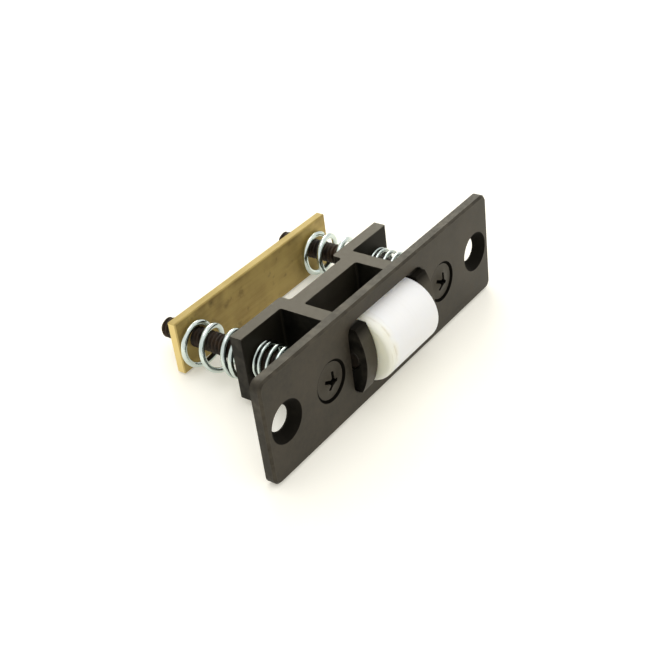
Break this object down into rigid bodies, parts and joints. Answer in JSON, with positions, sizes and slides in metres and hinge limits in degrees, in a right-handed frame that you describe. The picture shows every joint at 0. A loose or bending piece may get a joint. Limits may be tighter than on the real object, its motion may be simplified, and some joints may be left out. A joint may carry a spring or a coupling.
{
  "type": "roller latch",
  "caption": "Adjustable mortise roller latch: bronze faceplate, sprung forked housing, nylon roller, screws and brass back plate.",
  "frame": {"origin": "middle of the faceplate's back face, between the two fixing holes", "axes": "+X along the faceplate, +Y into the door towards the back plate, +Z across the faceplate, upwards as the latch lies on a table"},
  "size_m": [0.0856, 0.0535, 0.0254],
  "materials": {
    "dark_bronze_plate": "dark bronze plating, satin, slightly mottled",
    "dark_bronze_casting": "dark bronze plating over cast metal, satin",
    "white_nylon": "white nylon, smooth",
    "pin_steel": "dull dark steel pin",
    "plain_brass": "plain sawn brass bar, slightly stained",
    "dark_screw_steel": "dark bronze plated steel",
    "zinc_spring_wire": "bright zinc plated spring wire"
  },
  "bodies": {
    "faceplate": {"faceplate": "dark_bronze_plate", "left_front_spring": "zinc_spring_wire", "right_front_spring": "zinc_spring_wire"},
    "left_screw": {"left_screw": "dark_screw_steel"},
    "right_screw": {"right_screw": "dark_screw_steel"},
    "back_plate": {"back_plate": "plain_brass", "left_back_spring": "zinc_spring_wire", "right_back_spring": "zinc_spring_wire"},
    "housing": {"housing": "dark_bronze_casting", "axle": "pin_steel"},
    "roller": {"roller": "white_nylon"}
  },
  "joints": [
    {"name": "left_screw_turn", "type": "hinge", "parent": "faceplate", "child": "left_screw", "pos_m": [-0.0216, 0, 0], "axis": [0, 1, 0], "range_deg": [0, 1620]},
    {"name": "right_screw_turn", "type": "hinge", "parent": "faceplate", "child": "right_screw", "pos_m": [0.0216, 0, 0], "axis": [0, 1, 0], "range_deg": [0, 1620]},
    {"name": "back_plate_slide", "type": "slide", "parent": "faceplate", "child": "back_plate", "axis": [0, -1, 0], "range_m": [0, 0.00476], "deforming": ["left_front_spring", "right_front_spring"]},
    {"name": "housing_slide", "type": "slide", "parent": "back_plate", "child": "housing", "axis": [0, 1, 0], "range_m": [0, 0.0065], "stiffness_N_per_m": 6000, "springref_m": -0.002, "deforming": ["left_back_spring", "right_back_spring"]},
    {"name": "roller_spin", "type": "hinge", "parent": "housing", "child": "roller", "pos_m": [0, -0.0015, 0], "axis": [1, 0, 0], "continuous": true}
  ],
  "couplings": [
    {"joint": "left_screw_turn", "follows": "back_plate_slide", "rad_per_m": 5936.9},
    {"joint": "right_screw_turn", "follows": "back_plate_slide", "rad_per_m": 5936.9}
  ]
}
